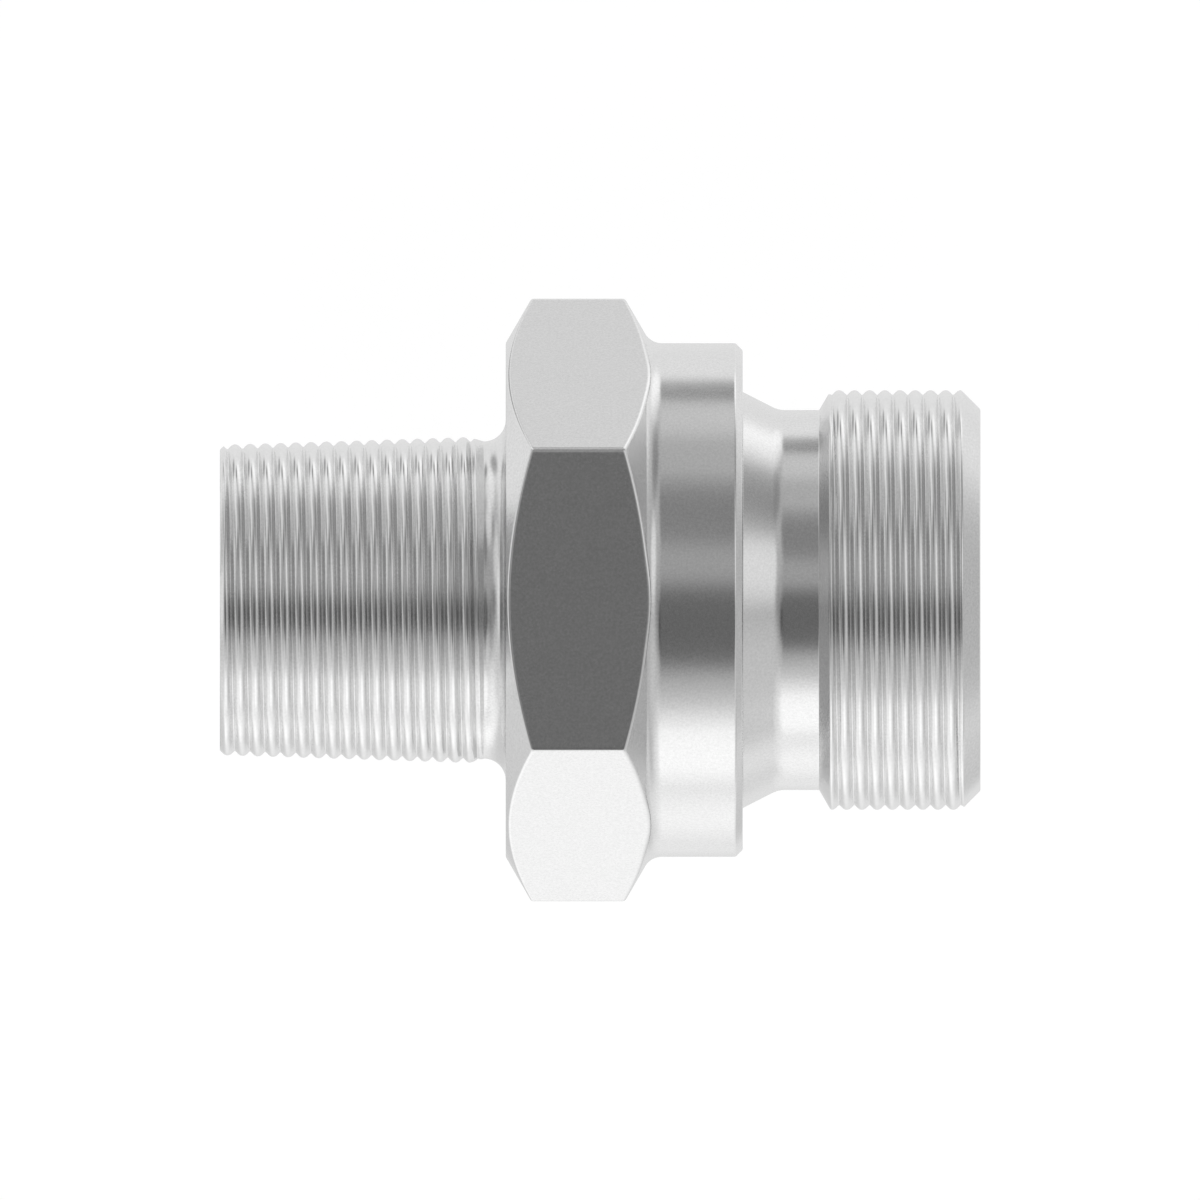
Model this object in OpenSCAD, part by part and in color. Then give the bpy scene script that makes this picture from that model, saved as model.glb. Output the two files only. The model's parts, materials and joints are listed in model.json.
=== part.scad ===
// Straight hydraulic adapter fitting, turned in one piece from hexagon bar.
// Its axis lies along X. The hexagon's left face is at X = 0, the taper thread
// points to -X and the parallel thread to +X. Two of the hexagon's flats face up
// and down, so the fitting lies on one of them. All sizes are in millimetres.

/* [Overall] */
// Length from the small end of the taper thread to the end face
overall_l = 115.5; // [106:0.5:140]

/* [Hexagon] */
// Width across the hexagon's flats
hex_flats = 79.4; // [79.2:0.1:90]
// Length of the hexagon
hex_l = 22; // [16:0.5:32]
// Angle of the corner chamfers, from the hexagon's end faces
hex_chamfer = 30; // [20:1:40]

/* [Collar] */
// Diameter of the collar, and of the flat ring inside the corner chamfers
collar_d = 78; // [70:0.1:79]
// Length of the collar
collar_l = 14; // [8:0.5:24]
// Chamfer on the collar's free edge
collar_edge = 1.1; // [0.4:0.1:3]
// Radius of the hollow between the hexagon and the collar
collar_fillet = 3; // [1:0.25:5]

/* [Neck] */
// Diameter of the neck behind the parallel thread
neck_d = 57.7; // [54:0.1:60]
// Length from the collar's face to the thread's back chamfer
neck_l = 11.6; // [8:0.1:22]
// Diameter of the neck's cone where it leaves the collar
cone_d = 63.2; // [60:0.1:70]
// Length of the neck's cone
cone_l = 5.4; // [2:0.1:7]
// Radius of the hollow between the cone and the neck
neck_fillet = 4.1; // [1:0.1:5]

/* [Threads] */
// Distance from one turn to the next, 11 turns to the inch
pitch = 2.309; // [1.5:0.001:3.5]
// Height of the ridge, from root to crest
ridge_h = 0.68; // [0.3:0.01:1.2]

/* [Parallel thread] */
// Diameter over the crests of the parallel thread
parallel_d = 63.6; // [62:0.1:70]
// Slope of the back chamfer, from the end face
back_chamfer = 30; // [20:1:45]
// Depth of the end chamfer, inwards from the thread's crests
end_chamfer_h = 2.85; // [2:0.05:4]
// Slope of the end chamfer, from the end face
end_chamfer = 45; // [30:1:60]

/* [Taper thread] */
// Length of the stud with the taper thread
stud_l = 43.4; // [30:0.1:54]
// Diameter over the crests at the gauge plane
gauge_d = 47.8; // [45:0.1:52]
// Distance from the small end to the gauge plane
gauge_l = 12.7; // [8:0.1:20]
// Slope of the taper thread, from the axis; 1.79 degrees is 1 in 16 on the diameter
taper_angle = 1.79; // [1.19:0.01:2.39]
// Place round the axis where the taper thread starts, in degrees
taper_start = 85; // [0:5:360]
// Radius of the hollow between the stud and the hexagon
stud_fillet = 3.3; // [1:0.1:6]

/* [Bore] */
// Diameter of the bore through the stud
stud_bore_d = 36; // [26:0.5:39]
// Chamfer at the mouth of the stud's bore
stud_mouth = 1; // [0.3:0.1:2]
// Diameter of the bore behind the cone seat
main_bore_d = 45; // [41:0.5:48]
// Depth of the wide bore, from the end face to its step
main_bore_l = 54; // [30:0.5:80]
// Whole angle of the step between the two bores
step_angle = 118; // [90:1:150]
// Diameter of the cone seat at the end face
seat_d = 52; // [49:0.1:53.5]
// Whole angle of the cone seat
seat_angle = 60; // [45:1:90]

/* [Hidden] */

// Steps around one turn of a thread, along one pitch, and along one rounded hollow
turn_steps = 40;
pitch_steps = 4;
arc_steps = 8;
$fn = 96;

// The threads' roots lie this far inside the turned faces that they run into
root_inset = 0.04;
// Each threaded core ends in a low cone, this far inside the turned part beside it
tenon_l = 2;
// The bar and the cutters reach this far past the faces that they cut
margin = 1;

collar_r = collar_d / 2;
neck_r = neck_d / 2;
corner_r = hex_flats / 2 / cos(30);
blank_r = corner_r + margin;

// Places along the axis
collar_x = hex_l;
neck_x = collar_x + collar_l;
back_x = neck_x + neck_l;
stud_x = -stud_l;
end_x = overall_l - stud_l;

// Where each thread starts and ends, and its root radius there
parallel_root_r = parallel_d / 2 - ridge_h;
parallel_rim_r = parallel_root_r + root_inset;
parallel_from = back_x + (parallel_rim_r - neck_r) * tan(back_chamfer);
end_face_r = parallel_d / 2 - end_chamfer_h;
parallel_to = end_x - (parallel_rim_r - end_face_r) * tan(end_chamfer);
taper_slope = tan(taper_angle);
taper_small_r = gauge_d / 2 - gauge_l * taper_slope - ridge_h;
taper_from = stud_x;
taper_to = -stud_fillet;
taper_big_r = taper_small_r + (taper_to - taper_from) * taper_slope;

// Points of an arc about a centre, as radius and place along the axis
function arc(centre, r, a, b) =
    [for (i = [0:arc_steps])
        let (angle = a + (b - a) * i / arc_steps)
        centre + r * [cos(angle), sin(angle)]];

// Hollow from the stud up to the hexagon's left face
stud_hollow = arc([taper_big_r + root_inset + stud_fillet, -stud_fillet], stud_fillet, 180, 90);

// Hollow from the hexagon's right chamfer down to the collar
collar_tangent = collar_fillet * tan((90 - hex_chamfer) / 2);
collar_hollow = arc([collar_r + collar_fillet, collar_x + collar_tangent],
    collar_fillet, 270 - hex_chamfer, 180);

// Hollow from the neck's cone down to the neck
cone_end = neck_x + cone_l;
cone_angle = atan((cone_d - neck_d) / 2 / cone_l);
neck_hollow = arc([neck_r + neck_fillet, cone_end + neck_fillet * tan(cone_angle / 2)],
    neck_fillet, 180 + cone_angle, 180);

chamfer_l = (blank_r - collar_r) * tan(hex_chamfer);

// Turned outline between the two threads
middle_outline = concat(
    [[0, -stud_fillet]],
    stud_hollow,
    [[collar_r, 0], [blank_r, chamfer_l], [blank_r, hex_l - chamfer_l]],
    collar_hollow,
    [[collar_r, neck_x - collar_edge], [collar_r - collar_edge, neck_x], [cone_d / 2, neck_x]],
    neck_hollow,
    [[neck_r, back_x], [parallel_rim_r, parallel_from], [0, parallel_from]]
);

// Chamfered end beyond the parallel thread
end_outline = [[0, parallel_to], [parallel_rim_r, parallel_to], [end_face_r, end_x], [0, end_x]];

// The cutters' lines are carried past the end faces at the slope that they have
stud_bore_r = stud_bore_d / 2;
main_bore_r = main_bore_d / 2;
seat_r = seat_d / 2;
step_x = end_x - main_bore_l;
step_l = (main_bore_r - stud_bore_r) / tan(step_angle / 2);
seat_l = (seat_r - main_bore_r) / tan(seat_angle / 2);
bore_outline = [
    [0, stud_x - margin],
    [stud_bore_r + stud_mouth + margin, stud_x - margin],
    [stud_bore_r, stud_x + stud_mouth],
    [stud_bore_r, step_x - step_l],
    [main_bore_r, step_x],
    [main_bore_r, end_x - seat_l],
    [seat_r + margin * tan(seat_angle / 2), end_x + margin],
    [0, end_x + margin]
];

// Share of the ridge's height at a place in the pitch: a rounded crest and a sharp root
function ridge(phase) = abs(sin(180 * phase));

// The ridge grows from nothing over the first pitch and runs out over the last
function grown(x, from, to) = max(0, min(1, (x - from) / pitch, (to - x) / pitch));

// A right-hand thread on a solid core, as a closed skin that follows the helix.
// Each column of points is one step of the turn further round and 1 / turn_steps of
// the pitch further along, and is held between the two end planes. Each end closes
// in a cone of the given length, which is none where the core's end face is free.
module threaded_core(from, to, root_r, slope, near_cone, far_cone) {
    rows = pitch_steps * (ceil((to - from) / pitch) + 1);
    function place(i, j) = min(to, max(from, from + (j / pitch_steps + i / turn_steps - 1) * pitch));
    function skin_r(x, i) = root_r + slope * (x - from)
        + ridge_h * grown(x, from, to) * ridge((x - from) / pitch - i / turn_steps);
    function skin_point(x, i) = let (a = 360 * i / turn_steps, r = skin_r(x, i)) [r * cos(a), r * sin(a), x];
    function at(i, j) = i < turn_steps ? i * (rows + 1) + j : min(j + pitch_steps, rows);
    skin = [for (i = [0:turn_steps - 1]) for (j = [0:rows]) skin_point(place(i, j), i)];
    near_tip = len(skin);
    far_tip = near_tip + 1;
    tips = [[0, 0, from - near_cone], [0, 0, to + far_cone]];
    sides = [for (i = [0:turn_steps - 1]) for (j = [0:rows - 1])
        each [
            if (place(i, j) < place(i, j + 1)) [at(i, j), at(i, j + 1), at(i + 1, j + 1)],
            if (place(i + 1, j) < place(i + 1, j + 1)) [at(i, j), at(i + 1, j + 1), at(i + 1, j)]
        ]];
    ends = [for (i = [0:turn_steps - 1])
        each [[near_tip, at(i, 0), at(i + 1, 0)], [far_tip, at(i + 1, rows), at(i, rows)]]];
    polyhedron(concat(skin, tips), concat(sides, ends));
}

// Hexagon bar that the fitting is turned from
module hexagon_bar() {
    translate([0, 0, -stud_fillet - margin])
        rotate(30)
            cylinder(h = parallel_from + stud_fillet + 2 * margin, r = corner_r, $fn = 6);
}

// Hexagon, collar and neck
module turned_middle() {
    intersection() {
        rotate_extrude() polygon(middle_outline);
        hexagon_bar();
    }
}

module turned_end() {
    rotate_extrude() polygon(end_outline);
}

module taper_thread() {
    rotate(taper_start) threaded_core(taper_from, taper_to, taper_small_r, taper_slope, 0, tenon_l);
}

module parallel_thread() {
    threaded_core(parallel_from, parallel_to, parallel_root_r, 0, tenon_l, tenon_l);
}

module bore() {
    rotate_extrude() polygon(bore_outline);
}

module adapter_body() {
    color("silver")
        rotate([0, 90, 0])
            difference() {
                union() {
                    turned_middle();
                    turned_end();
                    taper_thread();
                    parallel_thread();
                }
                bore();
            }
}

adapter_body();
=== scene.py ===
# %% [markdown]
# # A straight adapter fitting in plated steel
#
# The fitting is one piece of steel. A lathe turned it from a hexagon bar: a taper
# thread on the left, the hexagon and a round collar in the middle, and a necked
# parallel thread on the right, with a stepped bore right through.
#
# The CAD model gives the frame: its place, its box and its mounts. It draws the
# threads with 40 flats to the turn, which is enough for a nut to run on but shows in
# a polished finish. So this script makes the same surfaces again, much finer, with
# the small rounded edges that catch the light, and hides the CAD solid behind them.

import json
import math

import bmesh
import bpy
import numpy as np
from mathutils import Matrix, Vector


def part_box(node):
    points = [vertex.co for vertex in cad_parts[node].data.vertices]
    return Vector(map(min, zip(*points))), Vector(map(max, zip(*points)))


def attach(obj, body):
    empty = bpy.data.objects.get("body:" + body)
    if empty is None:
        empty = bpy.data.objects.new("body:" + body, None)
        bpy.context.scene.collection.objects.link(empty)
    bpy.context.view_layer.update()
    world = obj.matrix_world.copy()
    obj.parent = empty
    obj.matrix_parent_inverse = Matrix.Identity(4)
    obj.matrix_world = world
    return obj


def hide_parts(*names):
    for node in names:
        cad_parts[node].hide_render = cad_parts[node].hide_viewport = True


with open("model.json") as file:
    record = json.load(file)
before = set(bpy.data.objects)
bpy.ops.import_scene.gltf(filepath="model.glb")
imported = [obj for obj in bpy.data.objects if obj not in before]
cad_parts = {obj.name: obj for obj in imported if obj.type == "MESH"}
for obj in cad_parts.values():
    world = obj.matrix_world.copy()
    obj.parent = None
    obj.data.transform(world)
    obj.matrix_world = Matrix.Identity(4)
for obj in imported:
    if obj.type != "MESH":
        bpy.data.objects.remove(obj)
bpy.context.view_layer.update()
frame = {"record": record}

MM = 0.001
NODE = "adapter_body"
BODY = "root"
low, high = (np.array(corner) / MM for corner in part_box(NODE))
mounts = {mount["name"]: mount for mount in frame["record"]["mounts"]}
print("CAD box in mm:", low.round(2), high.round(2))

# %% [markdown]
# ## Sizes
#
# Everything that the frame knows is taken from it: the hexagon from the box, the
# bores and the collar's face from the mounts. The other sizes are read off the
# drawing, in millimetres, and named here once.

# %% Sizes from the frame
FLAT_R = high[2]
STUD_X = low[0]
END_X = high[0]
COLLAR_FACE_X = mounts["collar_face"]["pos_m"][0] / MM
STUD_BORE_R = mounts["stud_bore"]["dims"]["r_mm"]
MAIN_BORE_R = mounts["main_bore"]["dims"]["r_mm"]

# %% Sizes of the turned form
HEX_L = 22.0
HEX_CHAMFER = math.radians(30)
COLLAR_R = 39.0
COLLAR_EDGE = 1.1
COLLAR_FILLET = 3.0
NECK_R = 28.85
NECK_L = 11.6
CONE_R = 31.6
CONE_L = 5.4
NECK_FILLET = 4.1
BACK_CHAMFER = math.radians(30)
END_FACE_R = 28.95
STUD_FILLET = 3.3
STUD_MOUTH = 1.0
SEAT_R = 26.0
SEAT_SLOPE = math.radians(30)
STEP_SLOPE = math.radians(59)
MAIN_BORE_L = 54.0

# %% Sizes of the threads
# The ridge's height is from its crest to the sharp root, before the root's small
# round. The roots lie ROOT_INSET inside the turned faces that they run into.
PITCH = 2.309
RIDGE_H = 0.78
FLANK_SLOPE = math.radians(45)
ROOT_ROUND = 0.17
ROOT_INSET = 0.04
PARALLEL_ROOT_R = 31.09
PARALLEL_RIM_R = PARALLEL_ROOT_R + ROOT_INSET
BACK_X = COLLAR_FACE_X + NECK_L
PARALLEL_FROM = BACK_X + (PARALLEL_RIM_R - NECK_R) * math.tan(BACK_CHAMFER)
PARALLEL_TO = END_X - (PARALLEL_RIM_R - END_FACE_R)
# The taper is 1 in 16 on the diameter, and the root's radius is measured at the gauge
# plane. TAPER_START is the share of a turn by which the thread is turned on its axis.
TAPER_SLOPE = math.tan(math.radians(1.79))
GAUGE_L = 12.7
GAUGE_ROOT_R = 23.19
TAPER_SMALL_R = GAUGE_ROOT_R - GAUGE_L * TAPER_SLOPE
TAPER_START = 85 / 360
TAPER_TO = -STUD_FILLET
TAPER_RIM_R = TAPER_SMALL_R + (TAPER_TO - STUD_X) * TAPER_SLOPE + ROOT_INSET
print("parallel thread from", round(PARALLEL_FROM, 2), "to", round(PARALLEL_TO, 2))

# %% [markdown]
# ## The columns of the grid
#
# The whole skin is one grid: its columns run along the axis, and its rows run round
# it. A Screw modifier and a boolean could also make such a part, but in one grid the
# hexagon, the curves of its chamfers and both helices meet exactly, with no seam.
#
# Most columns are evenly spaced, because a circle needs that. The six corners of the
# hexagon are rounded over less than a millimetre, so each gets a few columns of its
# own, close together. The last column lies on the first, and the two are merged at
# the end.

# %% Columns round the axis
EVEN_COLUMNS = 156
CORNER_ROUNDING = 0.6
CORNER_ANGLES = np.radians(np.arange(30, 360, 60))
corner_centre = (FLAT_R - CORNER_ROUNDING) / math.cos(math.pi / 6)
corner_reach = math.pi / 6 - math.atan((FLAT_R - CORNER_ROUNDING) * math.tan(math.pi / 6) / FLAT_R)
# A corner's own columns: 1.0 is the end of its round, and 1.9 holds the flat beside it
corner_steps = corner_reach * np.array([-1.9, -1.0, -0.5, 0.5, 1.0, 1.9])
turn = np.sort(np.concatenate([
    np.linspace(0, 2 * math.pi, EVEN_COLUMNS + 1),
    (CORNER_ANGLES[:, None] + corner_steps).ravel(),
]))
print("columns:", len(turn) - 1)


def hexagon_radius(angle):
    """Distance from the axis to the hexagon at each angle.

    On a flat it is the flat's distance over the cosine of the angle from its middle.
    At a corner it is the far side of a small circle that touches both flats.
    """
    from_corner = (angle % (math.pi / 3)) - math.pi / 6
    from_middle = math.pi / 6 - np.abs(from_corner)
    flat = FLAT_R / np.cos(from_middle)
    inside = np.clip(CORNER_ROUNDING ** 2 - (corner_centre * np.sin(from_corner)) ** 2, 0, None)
    arc = corner_centre * np.cos(from_corner) + np.sqrt(inside)
    return np.where(np.abs(from_corner) <= corner_reach, np.minimum(arc, flat), flat)


hex_r = hexagon_radius(turn)
print("hexagon radius in mm:", hex_r.min().round(3), "to", hex_r.max().round(3))

# %% [markdown]
# ## Soft corners
#
# No real edge is perfectly sharp. A lathe tool leaves a tiny round on it, and that
# round is what draws the thin bright or dark line along each edge of a metal part.
# A Bevel modifier could make it, but not where a helix dies into a chamfer. So a corner
# is made soft by a short curve between the two lines that meet there: it leaves one
# line, is pulled towards the corner, and joins the other line. One more row on each
# side, the hold row, keeps the flats beside it flat in the shading.

# %% Soft corner and arc helpers
SOFT_STEPS = np.array([0.0, 0.25, 0.5, 0.75, 1.0])
HALF_CORNER = (len(SOFT_STEPS) + 1) // 2
HOLD = 0.12
LINE_SHARE = 0.45
NO_LENGTH = 1e-9
print("rows of a soft corner:", len(SOFT_STEPS) + 2, "of which past its middle:", HALF_CORNER)


def point(x, r):
    """One row of the grid: place along the axis and radius, for every column."""
    full = np.ones_like(turn)
    return np.stack([x * full, r * full])


def unit(v):
    """A row of vectors over their lengths, and left as they are where they have none."""
    length = np.hypot(*v)
    return v / np.where(length > NO_LENGTH, length, 1)


def soft_corner(before, corner, after, reach):
    """Rows of a rounded corner between two lines.

    The curve is (1-s)^2 A + 2 s (1-s) P + s^2 B, where P is the corner and A and B
    lie on the two lines, at the given reach from P. On a short line they lie at
    LINE_SHARE of its length instead, and the hold row no further beyond them.
    """
    to_a, to_b = before - corner, after - corner
    share_a, share_b = LINE_SHARE * np.hypot(*to_a), LINE_SHARE * np.hypot(*to_b)
    reach_a, reach_b = np.minimum(reach, share_a), np.minimum(reach, share_b)
    a, b = corner + unit(to_a) * reach_a, corner + unit(to_b) * reach_b
    s = SOFT_STEPS[:, None, None]
    curve = (1 - s) ** 2 * a + 2 * s * (1 - s) * corner + s ** 2 * b
    hold_a = a + unit(to_a) * np.minimum(HOLD, share_a)
    hold_b = b + unit(to_b) * np.minimum(HOLD, share_b)
    return np.concatenate([hold_a[None], curve, hold_b[None]])


def hollow_arc(centre_x, centre_r, radius, start, stop, steps):
    """Rows along the arc of a hollow, whose centre lies outside the steel.

    The angle is counted from the point nearest to the axis. The place along the axis is
    centre_x + radius * sin(angle), and the distance from the axis is
    centre_r - radius * cos(angle).
    """
    full = np.ones_like(turn)
    angle = np.linspace(start * full, stop * full, steps + 1)
    return np.stack([centre_x + radius * np.sin(angle), centre_r - radius * np.cos(angle)], axis=1)


# %% [markdown]
# ## The threads
#
# A screw thread is one ridge that winds round the part. Seen along one column it
# comes back once a pitch, and from one column to the next it has moved on by that
# share of the pitch. So the rows are slanted with the helix: every row stays at its
# own height on the ridge all the way round, and the root between two turns always
# falls on a row. A Screw modifier could wind the ridge too, but these rows can also be
# held under the cones of the chamfers, so that the first and last turns are cut off
# as the lathe does it.
#
# The ridge has straight flanks, a round crest and a small round in the root. A flank
# at 45 degrees throws what it mirrors onto the next one, and that is why threads look
# darker than the plain steel beside them.

# %% Shape of the ridge
# The crest's circle touches both flanks, and its top is at the ridge's height.
CREST_ROUND = (PITCH / 2 * math.tan(FLANK_SLOPE) - RIDGE_H) / (1 / math.cos(FLANK_SLOPE) - 1)
ROUND_HALF = CREST_ROUND * math.sin(FLANK_SLOPE)
ROOT_HALF = ROOT_ROUND * math.sin(FLANK_SLOPE)
# Rows from the root up to the crest, as shares of the pitch
HALF_RIDGE_ROWS = np.array([0.0, 0.03, ROOT_HALF / PITCH, 0.5 - ROUND_HALF / PITCH, 0.29, 0.39])
RIDGE_ROWS = np.concatenate([HALF_RIDGE_ROWS, [0.5], 1 - HALF_RIDGE_ROWS[:0:-1]])
print("crest radius in mm:", round(CREST_ROUND, 2), "rows a pitch:", len(RIDGE_ROWS))


def ridge_height(phase):
    """Height of the ridge in mm, for a place in the pitch from 0 to 1.

    Near the crest it is a circle, h - R + sqrt(R^2 - u^2), where h is the whole
    height, R the crest's radius and u the distance from the crest. Further out it is a
    straight flank, tan(a) * v, where a is the flank's slope and v the distance from
    the root. The root is a small circle that touches both its flanks,
    q / cos(a) - sqrt(q^2 - v^2), where q is its radius.
    """
    u = np.abs(phase % 1 - 0.5) * PITCH
    v = PITCH / 2 - u
    flank = math.tan(FLANK_SLOPE) * v
    crown = RIDGE_H - CREST_ROUND + np.sqrt(np.clip(CREST_ROUND ** 2 - u ** 2, 0, None))
    root = ROOT_ROUND / math.cos(FLANK_SLOPE) - np.sqrt(np.clip(ROOT_ROUND ** 2 - v ** 2, 0, None))
    return np.where(u < ROUND_HALF, crown, np.where(v < ROOT_HALF, root, flank))


print("ridge in mm:", (ridge_height(0.5) - ridge_height(0.0)).round(2))

# %% Thread rows


def thread_rows(start_x, stop_x, root_r, slope, start_turn, near_limit, far_limit):
    """Rows of a right-hand thread between two planes.

    Along a column the radius is root + slope * x + ridge height, and never more than
    the two limits, each a function of the place along the axis. The phase is the
    number of pitches from the start, less the share of a turn gone. The rows come with
    their height over the root, as a share of the ridge's.
    """
    turns = math.ceil((stop_x - start_x) / PITCH) + 2
    phase = (np.arange(-1, turns - 1)[:, None] + RIDGE_ROWS).ravel()[:, None]
    gone = turn[None] / (2 * math.pi) + start_turn
    x = np.clip(start_x + (phase + gone - 1) * PITCH, start_x, stop_x)
    root = root_r + slope * (x - start_x)
    full = root + ridge_height((x - start_x) / PITCH - gone)
    r = np.minimum(np.minimum(full, near_limit(x)), far_limit(x))
    return np.stack([x, r], axis=1), (r - root) / RIDGE_H


def back_limit(x):
    """Cone of the back chamfer, carried on above the thread's root."""
    return PARALLEL_RIM_R + (x - PARALLEL_FROM) / math.tan(BACK_CHAMFER)


def end_limit(x):
    """Cone of the 45 degree end chamfer, carried on above the thread's root."""
    return PARALLEL_RIM_R + PARALLEL_TO - x


def small_end_limit(x):
    """Edge of the small end, chamfered at 45 degrees from just above the root."""
    return TAPER_SMALL_R + ROOT_INSET + (x - STUD_X)


def run_out_limit(x):
    """Root of the taper thread, plus what is left of the ridge over its last pitch."""
    left = np.clip((TAPER_TO - x) / PITCH, 0, 1)
    return TAPER_SMALL_R + TAPER_SLOPE * (x - STUD_X) + ROOT_INSET * (1 - left) + RIDGE_H * left


taper_rows, taper_crest = thread_rows(STUD_X, TAPER_TO, TAPER_SMALL_R, TAPER_SLOPE, TAPER_START,
                                      small_end_limit, run_out_limit)
parallel_rows, parallel_crest = thread_rows(PARALLEL_FROM, PARALLEL_TO, PARALLEL_ROOT_R, 0.0, 0.0,
                                            back_limit, end_limit)
print("thread rows:", len(taper_rows), "and", len(parallel_rows))

# %% [markdown]
# ## The hexagon, collar and neck
#
# The lathe chamfers the bar's corners at 30 degrees, so each flat ends in a curve:
# the flat reaches furthest along the axis in its middle, and least at the corners.
# That curve is where the chamfer's cone meets the hexagon, so its place along the
# axis follows from the hexagon's radius in each column. A boolean cut would find the
# same curve, but would leave no clean rows along it for the soft edge. On the right
# the chamfer runs down through a hollow onto the collar.

# %% Hollow between the hexagon and the collar
# Reach of the soft corners in mm: of turned edges, and of the flats' curved ends
SOFT = 0.2
FLAT_SOFT = 0.34
HOLLOW_STEPS = 12
hollow_top = math.pi / 2 - HEX_CHAMFER
hollow_x = HEX_L + COLLAR_FILLET * math.tan(hollow_top / 2)
hollow_r = COLLAR_R + COLLAR_FILLET
hollow_top_r = hollow_r - COLLAR_FILLET * math.cos(hollow_top)
hollow_top_x = hollow_x - COLLAR_FILLET * math.sin(hollow_top)
hollow_start_r = np.minimum(hex_r, hollow_top_r)
hollow_start = np.arccos(np.clip((hollow_r - hollow_start_r) / COLLAR_FILLET, -1, 1))
hollow_rows = hollow_arc(hollow_x, hollow_r, COLLAR_FILLET, -hollow_start, 0.0, HOLLOW_STEPS)
print("hollow from", hollow_rows[0, 0].min().round(2), "to", round(hollow_x, 2), "mm")

# %% Rows of the hexagon
ring_x = (hex_r - COLLAR_R) * math.tan(HEX_CHAMFER)
flat_end_x = np.where(hex_r > hollow_top_r,
                      hollow_top_x - (hex_r - hollow_top_r) * math.tan(HEX_CHAMFER),
                      hollow_x - COLLAR_FILLET * np.sin(hollow_start))
hex_inner = point(0, TAPER_RIM_R + STUD_FILLET)
hex_rim = point(0, COLLAR_R)
flat_left = np.stack([ring_x, hex_r])
flat_right = np.stack([flat_end_x, hex_r])
left_rows = np.concatenate([
    soft_corner(hex_inner, hex_rim, flat_left, SOFT),
    soft_corner(hex_rim, flat_left, flat_right, FLAT_SOFT),
])
right_rows = np.concatenate([
    soft_corner(flat_left, flat_right, hollow_rows[HOLLOW_STEPS // 4], FLAT_SOFT),
    hollow_rows[1:],
])
print("a flat is", (flat_end_x - ring_x).max().round(2), "mm long in its middle and",
      (flat_end_x - ring_x).min().round(2), "mm at the corners")

# %% Rows of the collar and neck
# Reach of the soft corners at both ends of the neck and inside the bore, and the
# distance of the hold row beside a thread's rim
FINE_SOFT = 0.1
RIM_HOLD = 0.04
NECK_STEPS = 8
cone_slope = math.atan((CONE_R - NECK_R) / CONE_L)
cone_end_x = COLLAR_FACE_X + CONE_L
neck_hollow_x = cone_end_x + NECK_FILLET * math.tan(cone_slope / 2)
neck_hollow = hollow_arc(neck_hollow_x, NECK_R + NECK_FILLET, NECK_FILLET, -cone_slope, 0.0,
                         NECK_STEPS)
collar_top = point(COLLAR_FACE_X - COLLAR_EDGE, COLLAR_R)
collar_rim = point(COLLAR_FACE_X, COLLAR_R - COLLAR_EDGE)
cone_foot = point(COLLAR_FACE_X, CONE_R)
back_foot = point(BACK_X, NECK_R)
back_rim = point(PARALLEL_FROM, PARALLEL_RIM_R)
collar_rows = np.concatenate([
    soft_corner(hollow_rows[-1], collar_top, collar_rim, SOFT),
    soft_corner(collar_top, collar_rim, cone_foot, SOFT),
    soft_corner(collar_rim, cone_foot, neck_hollow[0], FINE_SOFT),
])
back_hold = back_rim + unit(back_foot - back_rim) * RIM_HOLD
neck_rows = np.concatenate([
    neck_hollow,
    soft_corner(neck_hollow[-1], back_foot, back_rim, FINE_SOFT),
    back_hold[None],
])
print("cone at", round(math.degrees(cone_slope), 1), "degrees")
print("rows of the collar and neck:", len(collar_rows) + len(neck_rows))

# %% [markdown]
# ## The bore
#
# Nothing in the photograph shows the bore, but every such fitting has one. Here it
# is in the CAD's sizes: a cone seat at the right end, a wide bore, the cone that the
# drill leaves, and a narrower bore with a chamfered mouth at the small end. The CAD's
# own faces would do, but the grid needs the bore's rows to come back to its start.

# %% Corners of the bore and the end faces
seat_x = END_X - (SEAT_R - MAIN_BORE_R) / math.tan(SEAT_SLOPE)
step_x = END_X - MAIN_BORE_L
drill_x = step_x - (MAIN_BORE_R - STUD_BORE_R) / math.tan(STEP_SLOPE)
end_rim = point(PARALLEL_TO, PARALLEL_RIM_R)
end_edge = point(END_X, END_FACE_R)
seat_edge = point(END_X, SEAT_R)
seat_foot = point(seat_x, MAIN_BORE_R)
step_edge = point(step_x, MAIN_BORE_R)
drill_edge = point(drill_x, STUD_BORE_R)
mouth_edge = point(STUD_X + STUD_MOUTH, STUD_BORE_R)
mouth_rim = point(STUD_X, STUD_BORE_R + STUD_MOUTH)
stud_rim = point(STUD_X, TAPER_SMALL_R)
print("drill's step from", round(drill_x, 2), "to", round(step_x, 2), "mm")

# %% Rows of the bore and the end faces
STUD_STEPS = 10
end_hold = end_rim + unit(end_edge - end_rim) * RIM_HOLD
end_rows = np.concatenate([
    end_rim[None],
    end_hold[None],
    soft_corner(end_rim, end_edge, seat_edge, SOFT),
])
bore_rows = np.concatenate([
    soft_corner(end_edge, seat_edge, seat_foot, SOFT),
    soft_corner(seat_edge, seat_foot, step_edge, FINE_SOFT),
    soft_corner(seat_foot, step_edge, drill_edge, FINE_SOFT),
    soft_corner(step_edge, drill_edge, mouth_edge, FINE_SOFT),
    soft_corner(drill_edge, mouth_edge, mouth_rim, FINE_SOFT),
    soft_corner(mouth_edge, mouth_rim, stud_rim, SOFT),
    stud_rim[None],
])
stud_hollow = hollow_arc(-STUD_FILLET, TAPER_RIM_R + STUD_FILLET, STUD_FILLET, 0.0, math.pi / 2,
                         STUD_STEPS)
print("rows of the bore:", len(bore_rows))

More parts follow.
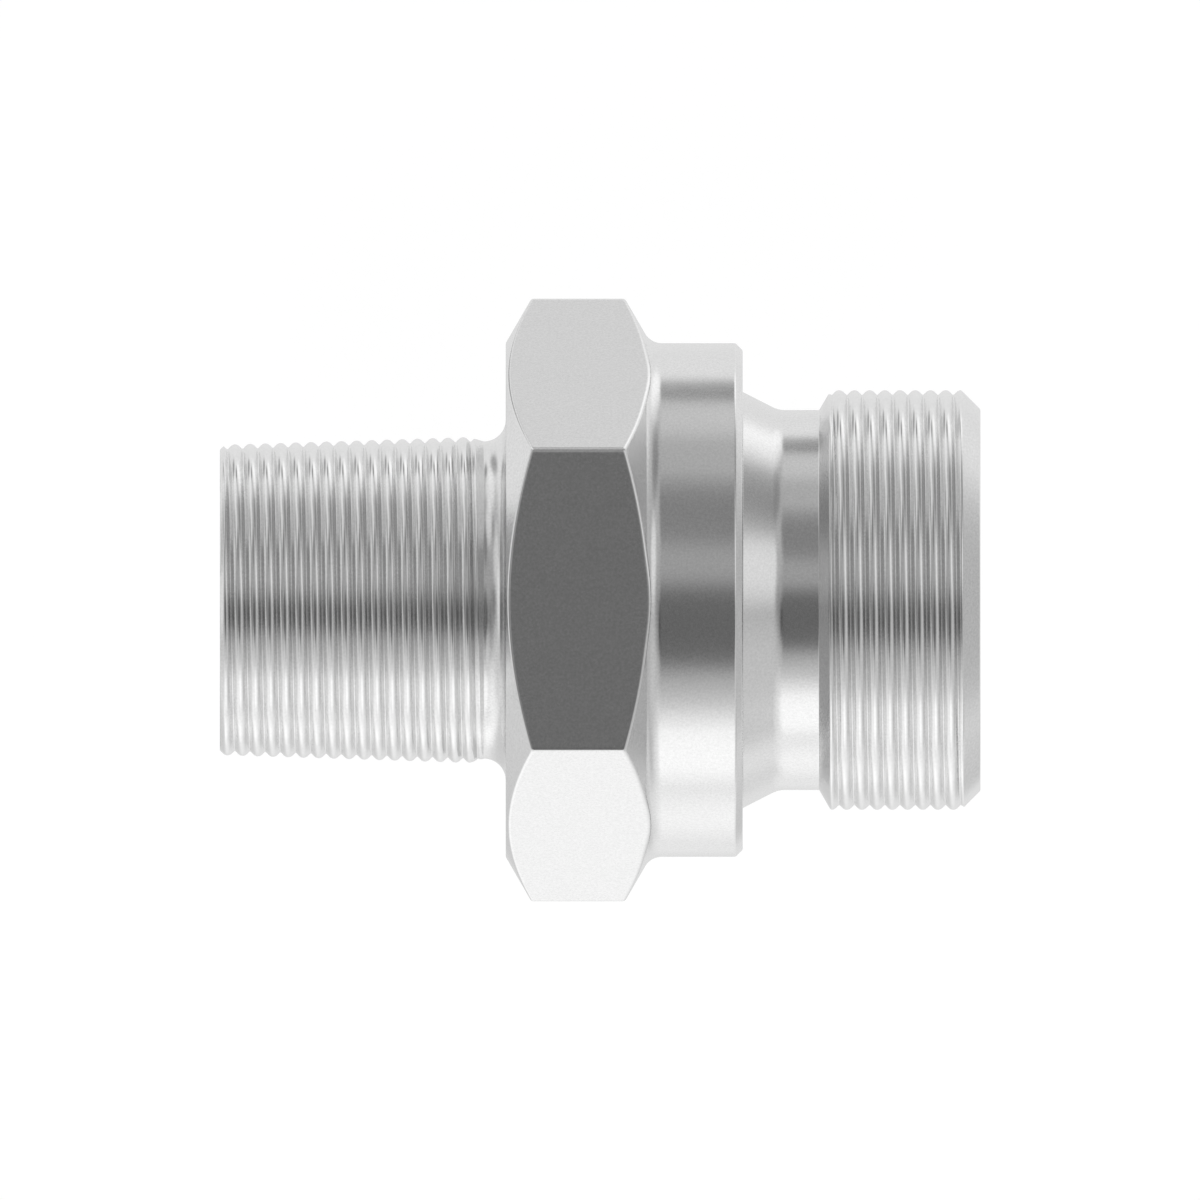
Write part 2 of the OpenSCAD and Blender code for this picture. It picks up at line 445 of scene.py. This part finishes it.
# %% [markdown]
# ## One closed skin
#
# All rows are stacked into one grid that starts on the small end face, goes along
# the outside to the big end, and comes back through the bore. Joining every row to
# the next and the last to the first gives a closed skin. Each strip also says which
# finish it has, and each row how worn it is: the edges and the tops of the ridges
# are rubbed brightest.

# %% Wear of the rows


def no_wear(rows):
    """No wear, for each of a number of rows."""
    return np.zeros((rows, len(turn)))


def edge_wear(corners):
    """Wear of soft corners: sin(pi * s) along each curve, and none on its hold rows."""
    one = np.concatenate([[0], np.sin(math.pi * SOFT_STEPS), [0]])
    return np.repeat(np.tile(one, corners)[:, None], len(turn), axis=1)


# The drawn flat reaches from the middle of its left soft corner to that of its right one
flat_rows = np.concatenate([left_rows[-HALF_CORNER:], right_rows[:HALF_CORNER]])
flat_wear = np.concatenate([edge_wear(1)[-HALF_CORNER:], edge_wear(1)[:HALF_CORNER]])
left_wear = edge_wear(2)[:-HALF_CORNER]
right_wear = np.concatenate([edge_wear(1)[HALF_CORNER:], no_wear(HOLLOW_STEPS)])
neck_wear = np.concatenate([no_wear(len(neck_hollow)), edge_wear(1), no_wear(1)])
end_wear = np.concatenate([no_wear(2), edge_wear(1)])
bore_wear = np.concatenate([edge_wear(6), no_wear(1)])
print("worn rows of the flat:", int((flat_wear[:, 0] > 0).sum()))

# %% Stack the rows
TURNED, DRAWN, BORED = 0, 1, 2
strips = [
    (taper_rows, taper_crest, TURNED),
    (stud_hollow, no_wear(len(stud_hollow)), TURNED),
    (left_rows[:-HALF_CORNER], left_wear, TURNED),
    (flat_rows, flat_wear, DRAWN),
    (right_rows[HALF_CORNER:], right_wear, TURNED),
    (collar_rows, edge_wear(3), TURNED),
    (neck_rows, neck_wear, TURNED),
    (parallel_rows, parallel_crest, TURNED),
    (end_rows, end_wear, TURNED),
    (bore_rows, bore_wear, BORED),
]
grid = np.concatenate([rows for rows, worn, finish in strips])
wear = np.concatenate([worn for rows, worn, finish in strips])
finishes = np.concatenate([np.full(len(rows), finish) for rows, worn, finish in strips])
print("rows:", len(grid))

# %% Make the mesh


def skin_points(rows):
    """Points in metres, one per grid place: x as it is, y = r sin(turn), z = -r cos(turn)."""
    x, r = rows[:, 0], rows[:, 1]
    return np.stack([x, r * np.sin(turn), -r * np.cos(turn)], axis=-1) * MM


points = skin_points(grid)
row_count, column_count = points.shape[:2]
index = np.arange(row_count * column_count).reshape(row_count, column_count)
following = np.roll(index, -1, axis=0)
faces = np.stack([index[:, :-1], index[:, 1:], following[:, 1:], following[:, :-1]], axis=-1)
face_finish = np.repeat(finishes[:, None], column_count - 1, axis=1)

mesh = bpy.data.meshes.new("adapter_skin")
mesh.from_pydata(points.reshape(-1, 3), [], faces.reshape(-1, 4))
mesh.polygons.foreach_set("material_index", face_finish.ravel().astype(np.int32))
mesh.polygons.foreach_set("use_smooth", np.ones(len(mesh.polygons), dtype=bool))
wear_layer = mesh.attributes.new("wear", "FLOAT", "POINT")
wear_layer.data.foreach_set("value", wear.ravel().astype(np.float32))

# %% Merge the seam and check the skin
MERGE = 0.0005 * MM
work = bmesh.new()
work.from_mesh(mesh)
bmesh.ops.remove_doubles(work, verts=work.verts, dist=MERGE)
bmesh.ops.dissolve_degenerate(work, edges=work.edges, dist=MERGE)
if work.calc_volume(signed=True) < 0:
    bmesh.ops.reverse_faces(work, faces=work.faces)
open_edges = sum(not edge.is_manifold for edge in work.edges)
volume = work.calc_volume() / MM ** 3
triangles = sum(len(face.verts) - 2 for face in work.faces)
work.to_mesh(mesh)
work.free()
mesh.update()
print("open edges:", open_edges, "triangles:", triangles, "volume in mm3:", round(volume))

skin = bpy.data.objects.new("adapter_skin", mesh)
bpy.context.scene.collection.objects.link(skin)
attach(skin, BODY)
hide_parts(NODE)

# %% [markdown]
# ## Finishes
#
# The steel has a thin bright plating, so all three finishes have one colour and
# differ only in what the tools left under it. The turned faces have fine rings round
# the axis. The flats are the cold-drawn bar's own skin, with faint lines along it.
# The bore is a little rougher. Pictures of such marks would need a seam somewhere,
# but noise that is worked out from the place on the piece has none. The same small
# effects are used in all finishes, so each is a node group that puts out a mask or a
# height, and the shader itself stays in the material.

# %% Node helpers
FLOAT, VECTOR = "NodeSocketFloat", "NodeSocketVector"


def new_group(name, inputs, output):
    """An empty shader node group with one float output."""
    group = bpy.data.node_groups.new(name, "ShaderNodeTree")
    for socket, kind in inputs.items():
        group.interface.new_socket(socket, in_out="INPUT", socket_type=kind)
    group.interface.new_socket(output, in_out="OUTPUT", socket_type=FLOAT)
    return group, group.nodes.new("NodeGroupInput").outputs, group.nodes.new("NodeGroupOutput").inputs


def feed(tree, socket, value):
    """Give a socket a number or a colour of its own, or another node's output."""
    if isinstance(value, bpy.types.NodeSocket):
        tree.links.new(value, socket)
    else:
        socket.default_value = value


def math_node(tree, operation, a, b=0.0):
    """A Math node: the operation on a and b."""
    node = tree.nodes.new("ShaderNodeMath")
    node.operation = operation
    feed(tree, node.inputs[0], a)
    feed(tree, node.inputs[1], b)
    return node.outputs[0]


# %% Noise helpers


def noise_node(tree, place, size, detail, roughness=0.5):
    """Noise from 0 to 1. Its scale is one over the size of its blobs in metres."""
    noise = tree.nodes.new("ShaderNodeTexNoise")
    noise.inputs["Detail"].default_value = detail
    noise.inputs["Roughness"].default_value = roughness
    feed(tree, noise.inputs["Scale"], math_node(tree, "DIVIDE", 1.0, size))
    if place.type == "VECTOR":
        feed(tree, noise.inputs["Vector"], place)
    else:
        noise.noise_dimensions = "1D"
        feed(tree, noise.inputs["W"], place)
    return noise.outputs["Fac"]


def about_mean(tree, noise, gain):
    """Height of a noise about its mean: gain * (noise - 0.5)."""
    return math_node(tree, "MULTIPLY", math_node(tree, "SUBTRACT", noise, 0.5), gain)


# %% Group: fine grain
SPECKLE_GAIN = 5.0


def grain_group():
    """Fine even grain: 3-D noise about its mean, times a gain and held from -1 to 1."""
    group, inside, outside = new_group("fine_grain", {"Position": VECTOR, "Size": FLOAT}, "Height")
    noise = noise_node(group, inside["Position"], inside["Size"], detail=2.0, roughness=0.6)
    speckle = about_mean(group, noise, SPECKLE_GAIN)
    held = math_node(group, "MAXIMUM", math_node(group, "MINIMUM", speckle, 1.0), -1.0)
    feed(group, outside["Height"], held)
    return group


# %% Group: turning marks


def turning_group():
    """Rings round the X axis: 1-D noise of x + sqrt(y^2 + z^2).

    On a cylinder only the place along the axis changes, and on an end face only the
    radius, so the same sum draws rings on both.
    """
    group, inside, outside = new_group("turning_marks", {"Position": VECTOR, "Feed": FLOAT}, "Height")
    parts = group.nodes.new("ShaderNodeSeparateXYZ")
    feed(group, parts.inputs[0], inside["Position"])
    across = math_node(group, "MULTIPLY", parts.outputs["Y"], parts.outputs["Y"])
    up = math_node(group, "MULTIPLY", parts.outputs["Z"], parts.outputs["Z"])
    radius = math_node(group, "SQRT", math_node(group, "ADD", across, up))
    path = math_node(group, "ADD", parts.outputs["X"], radius)
    noise = noise_node(group, path, inside["Feed"], detail=3.0, roughness=0.7)
    feed(group, outside["Height"], about_mean(group, noise, 2.0))
    return group


# %% Group: drawn lines
LINE_STRETCH = (0.03, 1.0, 1.0)


def drawn_group():
    """Faint lines along the bar: 3-D noise of the place, with x times a small share."""
    group, inside, outside = new_group("drawn_lines", {"Position": VECTOR, "Width": FLOAT}, "Height")
    stretch = group.nodes.new("ShaderNodeVectorMath")
    stretch.operation = "MULTIPLY"
    stretch.inputs[1].default_value = LINE_STRETCH
    feed(group, stretch.inputs[0], inside["Position"])
    noise = noise_node(group, stretch.outputs[0], inside["Width"], detail=3.0)
    feed(group, outside["Height"], about_mean(group, noise, 2.0))
    return group


# %% Group: edge wear
WEAR_SIZE = 2.5 * MM
WEAR_SHARPNESS = 3.0


def wear_group():
    """Where edges and crests are rubbed: the mesh's wear, to a power, times noise."""
    group, inside, outside = new_group("edge_wear", {"Position": VECTOR, "Amount": FLOAT}, "Mask")
    worn = group.nodes.new("ShaderNodeAttribute")
    worn.attribute_name = "wear"
    noise = noise_node(group, inside["Position"], WEAR_SIZE, detail=3.0)
    sharp = math_node(group, "POWER", worn.outputs["Fac"], WEAR_SHARPNESS)
    broken = math_node(group, "MULTIPLY", sharp, noise)
    feed(group, outside["Mask"], math_node(group, "MULTIPLY", broken, inside["Amount"]))
    return group


# %% Build the groups
GRAIN, TURNING, LINES, WEAR = grain_group(), turning_group(), drawn_group(), wear_group()
print("node groups:", [group.name for group in (GRAIN, TURNING, LINES, WEAR)])

# %% [markdown]
# ## The steel
#
# Plated steel is a plain metal: nearly all of its look is what it mirrors. Its base
# colour is a neutral grey, which the grain makes a little darker and lighter, and
# which is paler where edges and crests are rubbed. The roughness is low but not none,
# so that the soft panels blur into bands. It varies a little with the grain, and worn
# edges are smoother. Bump is enough for the marks, which are only microns deep.

# %% Colour of the steel
STEEL_DARK = (0.675, 0.675, 0.675, 1.0)
STEEL_LIGHT = (0.765, 0.765, 0.765, 1.0)
RUBBED = (0.80, 0.80, 0.80, 1.0)


def mix_colours(tree, factor, first, second):
    """One colour where the factor is 0 and the other where it is 1."""
    node = tree.nodes.new("ShaderNodeMix")
    node.data_type = "RGBA"
    feed(tree, node.inputs["Factor"], factor)
    feed(tree, node.inputs["A"], first)
    feed(tree, node.inputs["B"], second)
    return node.outputs["Result"]


def steel_colour(tree, fine, rubbed):
    """Dark to light steel by (grain + 1) / 2, and then rubbed steel by the wear."""
    share = math_node(tree, "ADD", math_node(tree, "MULTIPLY", fine, 0.5), 0.5)
    return mix_colours(tree, rubbed, mix_colours(tree, share, STEEL_DARK, STEEL_LIGHT), RUBBED)


# %% Roughness and bump of the steel
GRAIN_ROUGHNESS = 0.01
PATCH_ROUGHNESS = 0.006
RUBBED_SMOOTHING = 0.1


def steel_roughness(tree, roughness, fine, cloudy, rubbed):
    """The finish's own roughness, plus a share of grain and patches, less that of wear."""
    spread = math_node(tree, "MULTIPLY", fine, GRAIN_ROUGHNESS)
    patches = math_node(tree, "MULTIPLY", cloudy, PATCH_ROUGHNESS)
    rough = math_node(tree, "ADD", math_node(tree, "ADD", spread, patches), roughness)
    return math_node(tree, "SUBTRACT", rough, math_node(tree, "MULTIPLY", rubbed, RUBBED_SMOOTHING))


def steel_bump(tree, fine, grain, lines, marks):
    """Bump from grain and tool marks, each with its height in metres."""
    bump = tree.nodes.new("ShaderNodeBump")
    bump.inputs["Strength"].default_value = 1.0
    bump.inputs["Distance"].default_value = 1.0
    height = math_node(tree, "ADD", math_node(tree, "MULTIPLY", fine, grain),
                       math_node(tree, "MULTIPLY", lines, marks))
    feed(tree, bump.inputs["Height"], height)
    return bump.outputs["Normal"]


# %% Steel materials
MICRON = 1e-6
GRAIN_SIZE = 0.36 * MM
PATCH_SIZE = 4.0 * MM


def place_group(tree, group, position, **values):
    """Put a node group into a material, at a position and with values of its own."""
    node = tree.nodes.new("ShaderNodeGroup")
    node.node_tree = group
    feed(tree, node.inputs["Position"], position)
    for name, value in values.items():
        feed(tree, node.inputs[name], value)
    return node.outputs[0]


def steel(name, roughness, grain, tool_marks, marks, wear):
    """A metal finish. The tool marks are a node group and the size that it takes."""
    material = bpy.data.materials.new(name)
    material.use_nodes = True
    tree = material.node_tree
    shader = tree.nodes["Principled BSDF"].inputs
    position = tree.nodes.new("ShaderNodeTexCoord").outputs["Object"]
    fine = place_group(tree, GRAIN, position, Size=GRAIN_SIZE)
    cloudy = place_group(tree, GRAIN, position, Size=PATCH_SIZE)
    marks_group, marks_size = tool_marks
    lines = place_group(tree, marks_group, position, **marks_size)
    rubbed = place_group(tree, WEAR, position, Amount=wear)
    shader["Metallic"].default_value = 1.0
    feed(tree, shader["Base Color"], steel_colour(tree, fine, rubbed))
    feed(tree, shader["Roughness"], steel_roughness(tree, roughness, fine, cloudy, rubbed))
    feed(tree, shader["Normal"], steel_bump(tree, fine, grain, lines, marks))
    return material


# The order is that of TURNED, DRAWN and BORED
mesh.materials.append(steel("turned_steel", roughness=0.18, grain=0.6 * MICRON, marks=0.5 * MICRON,
                            tool_marks=(TURNING, {"Feed": 0.4 * MM}), wear=0.9))
mesh.materials.append(steel("drawn_steel", roughness=0.18, grain=0.05 * MICRON, marks=0.08 * MICRON,
                            tool_marks=(LINES, {"Width": 0.6 * MM}), wear=0.9))
mesh.materials.append(steel("bored_steel", roughness=0.30, grain=0.8 * MICRON, marks=2.0 * MICRON,
                            tool_marks=(TURNING, {"Feed": 0.8 * MM}), wear=0.5))
print("finishes:", [material.name for material in mesh.materials])

# %% [markdown]
# ## Floor
#
# The fitting lies on one flat of its hexagon, on a white table. The camera sees
# mostly plain white there, with a share of real shading so that the shadow stays.
# The rays that the steel mirrors pass through the table to the surroundings behind
# it, which are pale below the horizon as the table is. A real white table would be
# mirrored as one even white, and the steel's lower half would have no bands.

# %% Floor plane
FLOOR_SIZE = 3.0
floor_z = low[2] * MM
floor_mesh = bpy.data.meshes.new("floor")
half = FLOOR_SIZE / 2
floor_mesh.from_pydata([(-half, -half, floor_z), (half, -half, floor_z), (half, half, floor_z),
                        (-half, half, floor_z)], [], [(0, 1, 2, 3)])
floor = bpy.data.objects.new("floor", floor_mesh)
bpy.context.scene.collection.objects.link(floor)
print("floor at z =", round(floor_z / MM, 2), "mm")

# %% Floor material
WHITE = (1.0, 1.0, 1.0, 1.0)
TABLE_COLOUR = (0.85, 0.85, 0.85, 1.0)
SHADOW_SHARE = 0.15
TABLE_WHITE = 1.11


def mix_shaders(tree, factor, first, second):
    """One shader where the factor is 0 and the other where it is 1."""
    node = tree.nodes.new("ShaderNodeMixShader")
    feed(tree, node.inputs["Fac"], factor)
    feed(tree, node.inputs[1], first)
    feed(tree, node.inputs[2], second)
    return node.outputs[0]


def floor_material():
    """White with a share of real shading to the camera, and clear to mirrored rays."""
    material = bpy.data.materials.new("white_table")
    material.use_nodes = True
    tree = material.node_tree
    tree.nodes.clear()
    diffuse = tree.nodes.new("ShaderNodeBsdfDiffuse")
    diffuse.inputs["Color"].default_value = TABLE_COLOUR
    white = tree.nodes.new("ShaderNodeEmission")
    white.inputs["Strength"].default_value = TABLE_WHITE
    clear = tree.nodes.new("ShaderNodeBsdfTransparent")
    light_path = tree.nodes.new("ShaderNodeLightPath").outputs
    seen = mix_shaders(tree, 1 - SHADOW_SHARE, diffuse.outputs[0], white.outputs[0])
    by_camera = mix_shaders(tree, light_path["Is Camera Ray"], diffuse.outputs[0], seen)
    by_metal = mix_shaders(tree, light_path["Is Glossy Ray"], by_camera, clear.outputs[0])
    feed(tree, tree.nodes.new("ShaderNodeOutputMaterial").inputs["Surface"], by_metal)
    return material


floor_mesh.materials.append(floor_material())

# %% [markdown]
# ## Light
#
# A metal part looks like what stands round it, so the light is a pale room with
# soft round panels in it. Area lamps could stand in for them, but they would show in
# the steel with hard edges. Here the panels are far away and drawn by direction only,
# so the slope of the steel alone says what it mirrors.
#
# The room is mid grey overhead and nearly white some way below the horizon. Bright
# panels stand on the near side, at both ends and on the far side, and dark gaps and
# cards between them give the steel its bands. A dark gap is also overhead, and that is
# why the flat that faces the camera is dark grey. The camera itself sees plain white
# behind it all.

# %% Panels of the room
# All light is raised by this level. The room's own light is given by tilt from the
# top, in degrees.
LEVEL = 1.3
HEIGHTS = ((0, 0.34), (40, 0.34), (70, 0.40), (92, 0.45), (120, 0.76), (150, 0.70), (180, 0.62))
PANELS = {
    # name: tilt from the top and turn from +X towards +Y, half angle of the whole and
    # of the fading part, all in degrees, and the brightness, which is less than zero
    # for a dark gap
    "overhead_gap": (12, 271, 12, 24, -0.215),
    "overhead_left": (28, 208, 5, 19, -0.09),
    "overhead_right": (27, 335, 5, 19, -0.11),
    "right_box": (54, 18, 4, 22, 0.36),
    "top_right": (38, 48, 5, 24, 0.08),
    "far_gap": (40, 91, 8, 20, -0.135),
    "far_right_gap": (76, 56, 4, 22, -0.17),
    "far_left_box": (62, 114, 5, 22, 0.26),
    "far_left_low": (93, 113, 5, 24, 0.31),
    "far_left_gap": (71, 137, 2, 13, -0.12),
    "far_low_fill": (88, 90, 3, 13, 0.10),
    "far_spot": (110, 66, 7, 22, 0.24),
    "far_card": (110, 92, 3, 11, -0.39),
    "far_card_left": (124, 122, 3, 14, -0.44),
    "left_box": (74, 160, 5, 22, 0.20),
    "left_gap": (45, 190, 5, 20, -0.10),
    "left_low_gap": (143, 206, 16, 34, -0.13),
    "left_key": (88, 180, 4, 17, 0.28),
    "left_dark": (58, 181, 3, 13, -0.12),
    "left_card": (119, 180, 4, 12, -0.28),
    "near_left": (84, 220, 5, 36, 0.17),
    "near_fill": (38, 240, 4, 17, 0.14),
    "near_wall": (85, 264, 10, 57, 0.37),
    "near_key": (71, 270, 3, 24, 0.25),
    "near_low_gap": (118, 284, 4, 22, -0.10),
    "near_low": (140, 262, 5, 26, 0.08),
    "near_right": (60, 318, 5, 40, 0.15),
    "near_right_low": (134, 330, 10, 26, -0.16),
}
print("panels:", len(PANELS), "of which dark:", sum(panel[-1] < 0 for panel in PANELS.values()))

# %% Light by direction


def dot_with(tree, ray, vector):
    """Dot product of the ray with a fixed vector."""
    node = tree.nodes.new("ShaderNodeVectorMath")
    node.operation = "DOT_PRODUCT"
    node.inputs[1].default_value = vector
    feed(tree, node.inputs[0], ray)
    return node.outputs["Value"]


def soft_step(tree, value, start, stop, height):
    """From nothing up to the height, smoothly, while the value goes from start to stop."""
    node = tree.nodes.new("ShaderNodeMapRange")
    node.interpolation_type = "SMOOTHSTEP"
    feed(tree, node.inputs["Value"], value)
    for name, number in (("From Min", start), ("From Max", stop), ("To Min", 0.0), ("To Max", height)):
        node.inputs[name].default_value = number
    return node.outputs["Result"]


def panel_light(tree, ray, tilt, turned, whole, fading, brightness):
    """Light of one soft round panel.

    The cosine of the angle from its middle is the dot product of the two directions.
    The light is whole up to one angle, and runs out smoothly at the other.
    """
    tilt, turned, whole, fading = (math.radians(angle) for angle in (tilt, turned, whole, fading))
    middle = (math.sin(tilt) * math.cos(turned), math.sin(tilt) * math.sin(turned), math.cos(tilt))
    return soft_step(tree, dot_with(tree, ray, middle), math.cos(fading), math.cos(whole),
                     LEVEL * brightness)


def height_light(tree, ray):
    """Light of the room by the tilt of the ray: smooth steps from one height to the next."""
    up = math_node(tree, "MINIMUM", dot_with(tree, ray, (0, 0, 1)), 1.0)
    tilt = math_node(tree, "ARCCOSINE", math_node(tree, "MAXIMUM", up, -1.0))
    light = LEVEL * HEIGHTS[0][1]
    for (start, before), (stop, after) in zip(HEIGHTS[:-1], HEIGHTS[1:]):
        step = soft_step(tree, tilt, math.radians(start), math.radians(stop), LEVEL * (after - before))
        light = math_node(tree, "ADD", step, light)
    return light


# %% World


def background(tree, strength):
    """White light of a given strength."""
    node = tree.nodes.new("ShaderNodeBackground")
    node.inputs["Color"].default_value = WHITE
    feed(tree, node.inputs["Strength"], strength)
    return node.outputs[0]


def build_world():
    """Add up the panels by the direction of each ray; the camera's own rays see white."""
    world = bpy.data.worlds.new("soft_studio")
    bpy.context.scene.world = world
    world.use_nodes = True
    world.cycles.sampling_method = "NONE"
    tree = world.node_tree
    tree.nodes.clear()
    ray = tree.nodes.new("ShaderNodeTexCoord").outputs["Generated"]
    light = height_light(tree, ray)
    for panel in PANELS.values():
        light = math_node(tree, "ADD", panel_light(tree, ray, *panel), light)
    by_camera = tree.nodes.new("ShaderNodeLightPath").outputs["Is Camera Ray"]
    seen = mix_shaders(tree, by_camera, background(tree, light), background(tree, 1.0))
    feed(tree, tree.nodes.new("ShaderNodeOutputWorld").inputs["Surface"], seen)
    print("nodes in the world:", len(tree.nodes))


build_world()

# %% [markdown]
# ## Camera
#
# The photograph has no perspective: both ends of the hexagon are the same height in
# it. So the camera is orthographic. It looks straight down, with the corners of the
# hexagon at the top and bottom of the picture. Its width follows from the scale of
# the photograph, and its place from where the hexagon's left face is in it.

# %% Camera
PHOTO_PX = 1200
PX_PER_MM = 6.585
HEX_FACE_PX = 505.7
CAMERA_HEIGHT = 0.6
CAMERA_REACH = 10.0
camera_data = bpy.data.cameras.new("camera")
camera_data.type = "ORTHO"
camera_data.ortho_scale = PHOTO_PX / PX_PER_MM * MM
camera_data.clip_end = CAMERA_REACH
camera = bpy.data.objects.new("camera", camera_data)
camera.location = ((PHOTO_PX / 2 - HEX_FACE_PX) / PX_PER_MM * MM, 0.0, CAMERA_HEIGHT)
bpy.context.scene.collection.objects.link(camera)
bpy.context.scene.camera = camera
bpy.context.scene.view_settings.view_transform = "Standard"
print("camera over x =", round(camera.location.x / MM, 2), "mm")
